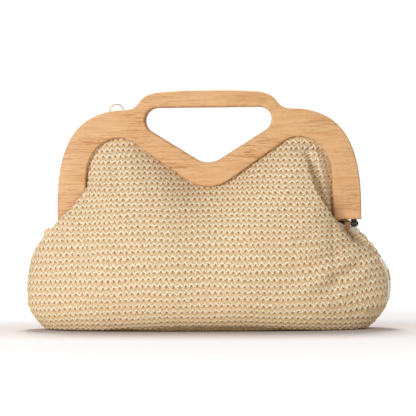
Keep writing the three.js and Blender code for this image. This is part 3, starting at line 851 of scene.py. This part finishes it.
def inner_edge(z):
    """Distance from the middle at which the V of the plates cuts height z."""
    if z < V_TIP_Z:
        return 0.0
    return keyed([(height, x) for x, height in zip(EDGE_X, EDGE_Z) if x <= ARCH_X], z + 0.8)


def lining_row(z, side, plain):
    """One level of the lining: inside the panel's folds, with both sides of the V apart."""
    row = []
    for hand in (-1, 1):
        path, _ = half_section(z, hand, plain, 200)
        outer = window_edge(z) - 0.8 if z > FOOT_Z - 2 else keyed(SEAM[hand], z) - 4.0
        share = np.sin(np.linspace(0, math.pi / 2, LINING_COLUMNS))
        inner = min(max(inner_edge(z), 2.0), outer - 1)
        x = inner + share * (outer - inner)
        near = np.abs(path[None, :, 0] - x[:, None]) < 3.5
        depth = np.where(near, path[None, :, 1], 99).min(axis=1)
        depth = np.clip(depth - LINING_INSET, 0.5, 60)
        half = np.stack([hand * x, side * depth, lifted(x, z)], axis=1)
        row.append(half[::-1] if hand < 0 else half)
    middle = (row[0][-1] + row[1][0]) / 2
    return np.vstack([row[0], [middle], row[1]])


def lining(name, side, plain):
    heights = np.linspace(LOW_Z + 4, ARCH_TOP_Z - 1, LINING_ROWS)
    inner = np.array([lining_row(z, side, plain) for z in heights])
    for _ in range(2):
        inner = soften(soften(inner, 0), 1)
    keep = whole(inner)
    keep[heights > V_TIP_Z + 0.5, LINING_COLUMNS] = False
    piece = grid_object(name, inner, inner[..., [0, 2]], keep)
    dress(piece, cotton, ALL_SMOOTH)
    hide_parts(name)
    follow_frame(piece)
    return piece


# ---- small pieces ----
def base_cloth():
    """The oval base, cut from the same cloth but made dark as painted shade, so its rim under the
    arched lower edge reads as shadow; its rim rises to meet the panels.
    """
    across, along = 60, 150
    share = np.sin(np.linspace(-math.pi / 2, math.pi / 2, along))
    width = np.where(share < 0, keyed(SEAM[-1], LOW_Z), keyed(SEAM[1], LOW_Z)) - 0.3
    x = share * width
    half_depth = (1 - np.abs(share) ** 3) ** 0.55 * BASE_HALF_DEPTH
    rows, own = [], []
    for t in np.sin(np.linspace(-math.pi / 2, math.pi / 2, across)):
        rim = smooth_step(0.975, 1.0, abs(t))
        rows.append(np.stack([x, t * half_depth, LOW_Z + bottom_lift(x) * rim], axis=1))
        own.append(np.stack([x, t * half_depth], axis=1))
    points, own = np.array(rows), np.array(own)
    lowered = points.copy()
    lowered[..., 2] -= (weave(own) - 0.5) * RELIEF
    piece = grid_object("base_panel_cloth", lowered, own, whole(points))
    dress(piece, base_straw_painted_shade, ALL_SMOOTH)
    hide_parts("base_panel")
    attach(piece, "bag")


def seam_point(z, offset, lift):
    """A point above the right side seam, an offset along the cloth from its edge."""
    path, length = half_section(z, 1, offset > 0, 400)
    at = length[np.argmax(path[:, 0])] - abs(offset)
    here, ahead = (
        np.array([np.interp(at + d, length, path[:, i]) for i in range(2)]) for d in (0, 0.3)
    )
    along = (ahead - here) / np.linalg.norm(ahead - here)
    depth = max(here[1] + along[0] * lift, 0.0) if abs(offset) > 1 else 0.0
    return (here[0] - along[1] * lift, math.copysign(depth, offset), z)


def seam_patch(name, node, z_low, z_high, reach, lift, material):
    """A strip of tape over the right side seam, lying on both panels."""
    offsets = np.linspace(-reach, reach, 17)
    heights = np.linspace(z_low, z_high, 24)
    points = np.array([[seam_point(z, offset, lift) for offset in offsets] for z in heights])
    for _ in range(2):
        points = soften(soften(points, 0), 1)
    piece = grid_object(name, points, points[..., :2], whole(points))
    thicken(piece, 0.6)
    dress(piece, material, ALL_SMOOTH)
    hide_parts(node)
    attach(piece, "bag")


def hinge_strap(name, node):
    """A leather strap looped round the hinge pin; its two ends run down into the side seam."""
    low, high = (Vector(c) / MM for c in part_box(node))
    x_low, x_high, thick = low.x, high.x, 1.1
    radius = (high.y - low.y) / 2 - thick / 2
    loop = arc((0, HINGE_Z), radius, -0.3 * math.pi, 1.3 * math.pi, 25)
    down = [(0.62, STRAP_LOW_Z), (0.66, STRAP_LOW_Z + 4), (0.9, STRAP_LOW_Z + 8)]
    path = [*down, *loop, *((-y, z) for y, z in reversed(down))]
    points = np.array([[(x, y, z) for x in np.linspace(x_low, x_high, 7)] for y, z in path])
    points[..., 0] += 0.12 * np.sin(points[..., 2] * 0.9)
    piece = grid_object(name, points, points[..., [0, 2]], whole(points))
    thicken(piece, thick)
    rounded = piece.modifiers.new("edges", "BEVEL")
    rounded.width = 0.25 * MM
    rounded.segments = 2
    dress(piece, leather, 50)
    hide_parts(node)
    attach(piece, "bag")


def bunched(name, centre, size, tilt, pleats, material, seed):
    """The gathered end of a side seam: a small crumpled bag of cloth, tilted by some degrees.
    Pleats are their number and their height as a share of the radius."""
    n, m = 72, 34
    around = np.linspace(0, 2 * math.pi, n)[:, None]
    down = np.linspace(0.02 * math.pi, 0.98 * math.pi, m)[None, :]
    crumple = value_noise(around * 6 / math.pi, down * 5, (1.0, 1.0), seed)
    crumple[-1] = crumple[0]
    radius = 1 + pleats[1] * np.cos(pleats[0] * around + 2 * down) * np.sin(down) + 0.14 * crumple
    x = size[0] * radius * np.sin(down) * np.cos(around)
    y = size[1] * radius * np.sin(down) * np.sin(around)
    z = size[2] * radius * np.cos(down) * np.ones_like(around)
    cos, sin = math.cos(math.radians(tilt)), math.sin(math.radians(tilt))
    turned_x, turned_z = x * cos - z * sin, x * sin + z * cos
    points = np.stack([turned_x + centre[0], y + centre[1], turned_z + centre[2]], axis=-1)
    own = np.stack([1.6 * x + 0.5 * y, 1.5 * z + 0.8 * y], axis=-1)
    piece = grid_object(name, points, own, whole(points))
    dress(piece, material, ALL_SMOOTH)
    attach(piece, "bag")


def torus(name, node, body, material):
    """A fine wire ring in the place of its CAD node."""
    low, high = (Vector(c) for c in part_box(node))
    centre = (low + high) / 2
    major, minor = RING_RADIUS * MM, RING_WIRE * MM
    lean = math.asin(np.clip((high.y - low.y - 2 * minor) / (2 * major), 0, 1))
    n, m = 64, 14
    vertices, faces = [], []
    for i in range(n):
        a = 2 * math.pi * i / n
        for j in range(m):
            b = 2 * math.pi * j / m
            r = major + minor * math.cos(b)
            flat = Vector((r * math.cos(a), minor * math.sin(b), r * math.sin(a)))
            y = flat.y * math.cos(lean) - flat.z * math.sin(lean)
            z = flat.y * math.sin(lean) + flat.z * math.cos(lean)
            vertices.append(centre + Vector((flat.x, y, z)))
            faces.append(
                (i * m + j, ((i + 1) % n) * m + j, ((i + 1) % n) * m + (j + 1) % m,
                 i * m + (j + 1) % m)
            )
    piece = mesh_object(name, vertices, faces)
    dress(piece, material, ALL_SMOOTH)
    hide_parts(node)
    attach(piece, body)


# ---- stage ----
def look_at(holder, target):
    direction = Vector(target) - holder.location
    holder.rotation_euler = direction.to_track_quat("-Z", "Y").to_euler()


def make_camera():
    data = bpy.data.cameras.new("camera")
    data.sensor_width = 36
    camera = bpy.data.objects.new("camera", data)
    bpy.context.scene.collection.objects.link(camera)
    target = Vector(CAMERA_TARGET)
    azimuth, rise = math.radians(CAMERA_AZIMUTH), math.radians(CAMERA_RISE)
    way = Vector((math.sin(azimuth), -math.cos(azimuth), math.tan(rise)))
    camera.location = target + way * CAMERA_DISTANCE
    data.lens = 36 * CAMERA_DISTANCE / VIEW_WIDTH
    look_at(camera, target)
    camera.rotation_euler.rotate_axis("Z", math.radians(CAMERA_ROLL))
    bpy.context.scene.camera = camera


def area_light(name, place, size, power):
    """A round light that shines at the middle of the object."""
    data = bpy.data.lights.new(name, "AREA")
    data.shape = "DISK"
    data.size = size
    data.energy = power
    light = bpy.data.objects.new(name, data)
    light.location = place
    bpy.context.scene.collection.objects.link(light)
    look_at(light, (0, 0, 0.1))


def paper_material():
    """White studio paper with a painted shadow: its colour is darker and warmer beside the
    object. It glows more and more away from it, so its far end is white, and it sends the object
    less light than the camera sees on it."""
    paper, shader = new_material("floor_paper", roughness=0.9, specular=0.1)
    beside = add_node(paper, "ShaderNodeVectorMath", operation="LENGTH")
    link(paper, stretched(paper, (0.35, 1, 1)), beside.inputs[0])
    # Painted shadow: the paper's colour is darker and warmer close to the object.
    stops = [(0.05, (0.66, 0.59, 0.57)), (0.14, (0.8, 0.785, 0.78))]
    painted_shadow_tint = ramp_node(paper, beside.outputs["Value"], stops)
    link(paper, painted_shadow_tint, shader.inputs["Base Color"])
    shader.inputs["Emission Color"].default_value = (1, 1, 1, 1)
    place = add_node(paper, "ShaderNodeTexCoord")
    away = add_node(paper, "ShaderNodeVectorMath", operation="LENGTH")
    link(paper, place.outputs["Object"], away.inputs[0])
    glow = add_node(paper, "ShaderNodeMapRange", interpolation_type="SMOOTHSTEP")
    for socket, value in zip(("From Min", "From Max", "To Min", "To Max"), (0.12, 0.9, 0.0, 0.8)):
        glow.inputs[socket].default_value = value
    link(paper, away.outputs["Value"], glow.inputs["Value"])
    link(paper, glow.outputs["Result"], shader.inputs["Emission Strength"])
    dim = add_node(paper, "ShaderNodeBsdfDiffuse")
    dim.inputs["Color"].default_value = (0.62, 0.57, 0.5, 1)
    path, either = add_node(paper, "ShaderNodeLightPath"), add_node(paper, "ShaderNodeMixShader")
    link(paper, path.outputs["Is Camera Ray"], either.inputs["Fac"])
    link(paper, dim.outputs["BSDF"], either.inputs[1])
    link(paper, shader.outputs["BSDF"], either.inputs[2])
    surface = paper.node_tree.nodes["Material Output"].inputs["Surface"]
    link(paper, either.outputs["Shader"], surface)
    return paper


def make_world():
    """White to the camera, and a softer white as light."""
    world = bpy.data.worlds.new("studio")
    world.use_nodes = True
    nodes, links = world.node_tree.nodes, world.node_tree.links
    soft = nodes["Background"]
    soft.inputs["Color"].default_value = (1, 1, 1, 1)
    soft.inputs["Strength"].default_value = AMBIENT
    seen = nodes.new("ShaderNodeBackground")
    seen.inputs["Strength"].default_value = 1.05
    seen.inputs["Color"].default_value = (1, 1, 1, 1)
    path, either = nodes.new("ShaderNodeLightPath"), nodes.new("ShaderNodeMixShader")
    links.new(path.outputs["Is Camera Ray"], either.inputs["Fac"])
    links.new(soft.outputs["Background"], either.inputs[1])
    links.new(seen.outputs["Background"], either.inputs[2])
    links.new(either.outputs["Shader"], nodes["World Output"].inputs["Surface"])
    bpy.context.scene.world = world


def make_stage():
    make_world()
    floor = mesh_object("floor", [(-6, -6, 0), (6, -6, 0), (6, 6, 0), (-6, 6, 0)], [(0, 1, 2, 3)])
    floor.data.materials.append(paper_material())
    area_light("key", (-1.08, -1.68, 0.5), 1.0, 25)
    area_light("top", (-0.1, 0.5, 1.6), 0.6, 22)
    area_light("fill", (1.2, -1.6, 0.4), 1.4, 7)
    view = bpy.context.scene.view_settings
    view.view_transform = "Standard"
    view.look = "None"
    view.exposure = 0.0


# ---- assembly ----
EDGE_HALF = lower_edge_half()
LOWER_EDGE = distinct(mirrored(EDGE_HALF) + EDGE_HALF)
OUTER_HALF = outer_edge_half()
PLATE_OUTLINE = distinct(LOWER_EDGE + OUTER_HALF + mirrored(OUTER_HALF))
EDGE_X = [x for x, z in EDGE_HALF[:-1]] + [400]
EDGE_Z = [z for x, z in EDGE_HALF[:-1]] + [EDGE_HALF[-2][1]]

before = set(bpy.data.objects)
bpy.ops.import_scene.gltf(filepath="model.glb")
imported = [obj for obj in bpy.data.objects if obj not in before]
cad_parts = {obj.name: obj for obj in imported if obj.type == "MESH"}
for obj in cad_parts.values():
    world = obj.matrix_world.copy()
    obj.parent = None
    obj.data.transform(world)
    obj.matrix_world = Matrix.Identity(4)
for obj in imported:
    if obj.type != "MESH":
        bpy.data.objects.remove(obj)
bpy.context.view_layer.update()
make_camera()
make_stage()

beech = wood_material("beech", srgb(229, 184, 135), srgb(217, 166, 114), srgb(176, 117, 64))
strip_wood = wood_material(
    "strip_beech", srgb(222, 178, 132), srgb(212, 164, 116), srgb(180, 130, 84)
)
straw = straw_material("straw_weave")
# Painted shade: the base is the same straw made dark, for the shadow under the pouch's lower
# edge.
base_straw_painted_shade = straw_material("straw_base_painted_shade", 0.3)
cotton = cloth_material("lining_cotton", srgb(240, 232, 216), srgb(222, 212, 192))
tape = cloth_material("label_tape", srgb(248, 246, 240), srgb(232, 229, 220))
ochre = cloth_material("label_bar", srgb(236, 178, 62), srgb(214, 152, 40))
card = cloth_material("fibreboard", srgb(190, 165, 135), srgb(168, 142, 112), 400.0)
gold = metal_material("gold", srgb(222, 184, 104), 0.25)
dark_steel = metal_material("antique_steel", srgb(92, 88, 86), 0.35)
steel = metal_material("bright_steel", srgb(200, 200, 204), 0.3)
leather = leather_material("tan_leather", srgb(206, 164, 118), srgb(176, 132, 88))

for name, side in (("front_frame", -1), ("back_frame", 1)):
    plate = frame_plate(name + "_plate", side)
    dress(plate, beech, 30)
    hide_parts(name)
    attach(plate, name + "_half")

for word, material, crease in (
    ("retaining_strip", strip_wood, 30),
    ("screw", steel, 30),
    ("magnet", steel, 30),
    ("hinge_leaf", dark_steel, 30),
    ("hinge_pin", dark_steel, 30),
    ("strap_eye", gold, 80),
    ("base_board", card, 30),
    ("base_lining", cotton, 30),
):
    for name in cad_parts:
        if word in name:
            dress(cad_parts[name], material, crease)

panel("front_panel", -1, False)
panel("back_panel", 1, True)
lining("front_lining", -1, False)
lining("back_lining", 1, True)
base_cloth()
seam_patch("side_label_patch", "side_label", 28, 66, 9, 0.45, tape)
seam_patch("side_label_stripe", "side_label_bar", 45, 55.5, 6, 0.9, ochre)
for hand in ("left", "right"):
    hinge_strap(f"hinge_strap_{hand}", f"hinge_tab_{hand}")
bunched("seam_end_right", (139.6, 0, 84.6), (8.0, 4.8, 5.2), -28, (5, 0.14), straw, 11)
bunched("seam_end_left", (-152.5, 0, 91.5), (4.6, 3.6, 3.8), 35, (4, 0.12), straw, 12)
bunched("lining_end_right", (135.4, 0, 91.2), (4.6, 3.4, 3.4), -20, (6, 0.2), cotton, 13)
torus("strap_ring_left_wire", "strap_ring_left", "left_ring", gold)
torus("strap_ring_right_wire", "strap_ring_right", "right_ring", gold)
